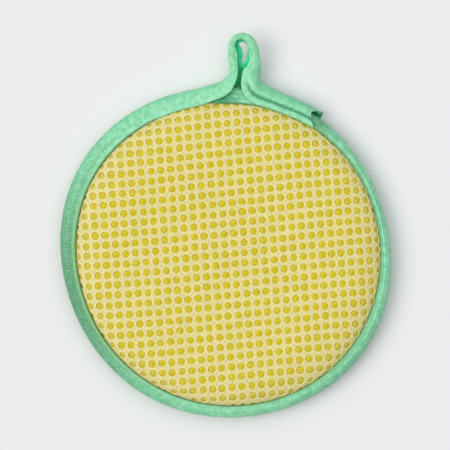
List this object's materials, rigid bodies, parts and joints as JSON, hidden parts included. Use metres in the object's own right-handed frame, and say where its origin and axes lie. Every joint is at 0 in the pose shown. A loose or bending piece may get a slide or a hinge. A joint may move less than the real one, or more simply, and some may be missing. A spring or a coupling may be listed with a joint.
{
  "type": "kitchen sponge",
  "caption": "Round foam kitchen sponge in a knitted net cover, bound at the edge by a folded ribbed tape that also makes a hanging loop.",
  "frame": {"origin": "middle of the flat back, on the surface that the sponge lies on", "axes": "+Z out of the front face, through the pad's thickness; +Y from the middle of the pad towards the hanging loop; +X completes the right-handed frame"},
  "size_m": [0.1393, 0.1616, 0.0149],
  "materials": {
    "foam": "open-cell polyurethane foam, dull",
    "net": "warp-knit polyester net, slight sheen",
    "tape": "ribbed elastic tape, slight sheen"
  },
  "bodies": {
    "root": {"foam_core": "foam", "front_mesh": "net", "back_mesh": "net", "binding_tape": "tape"}
  },
  "joints": []
}
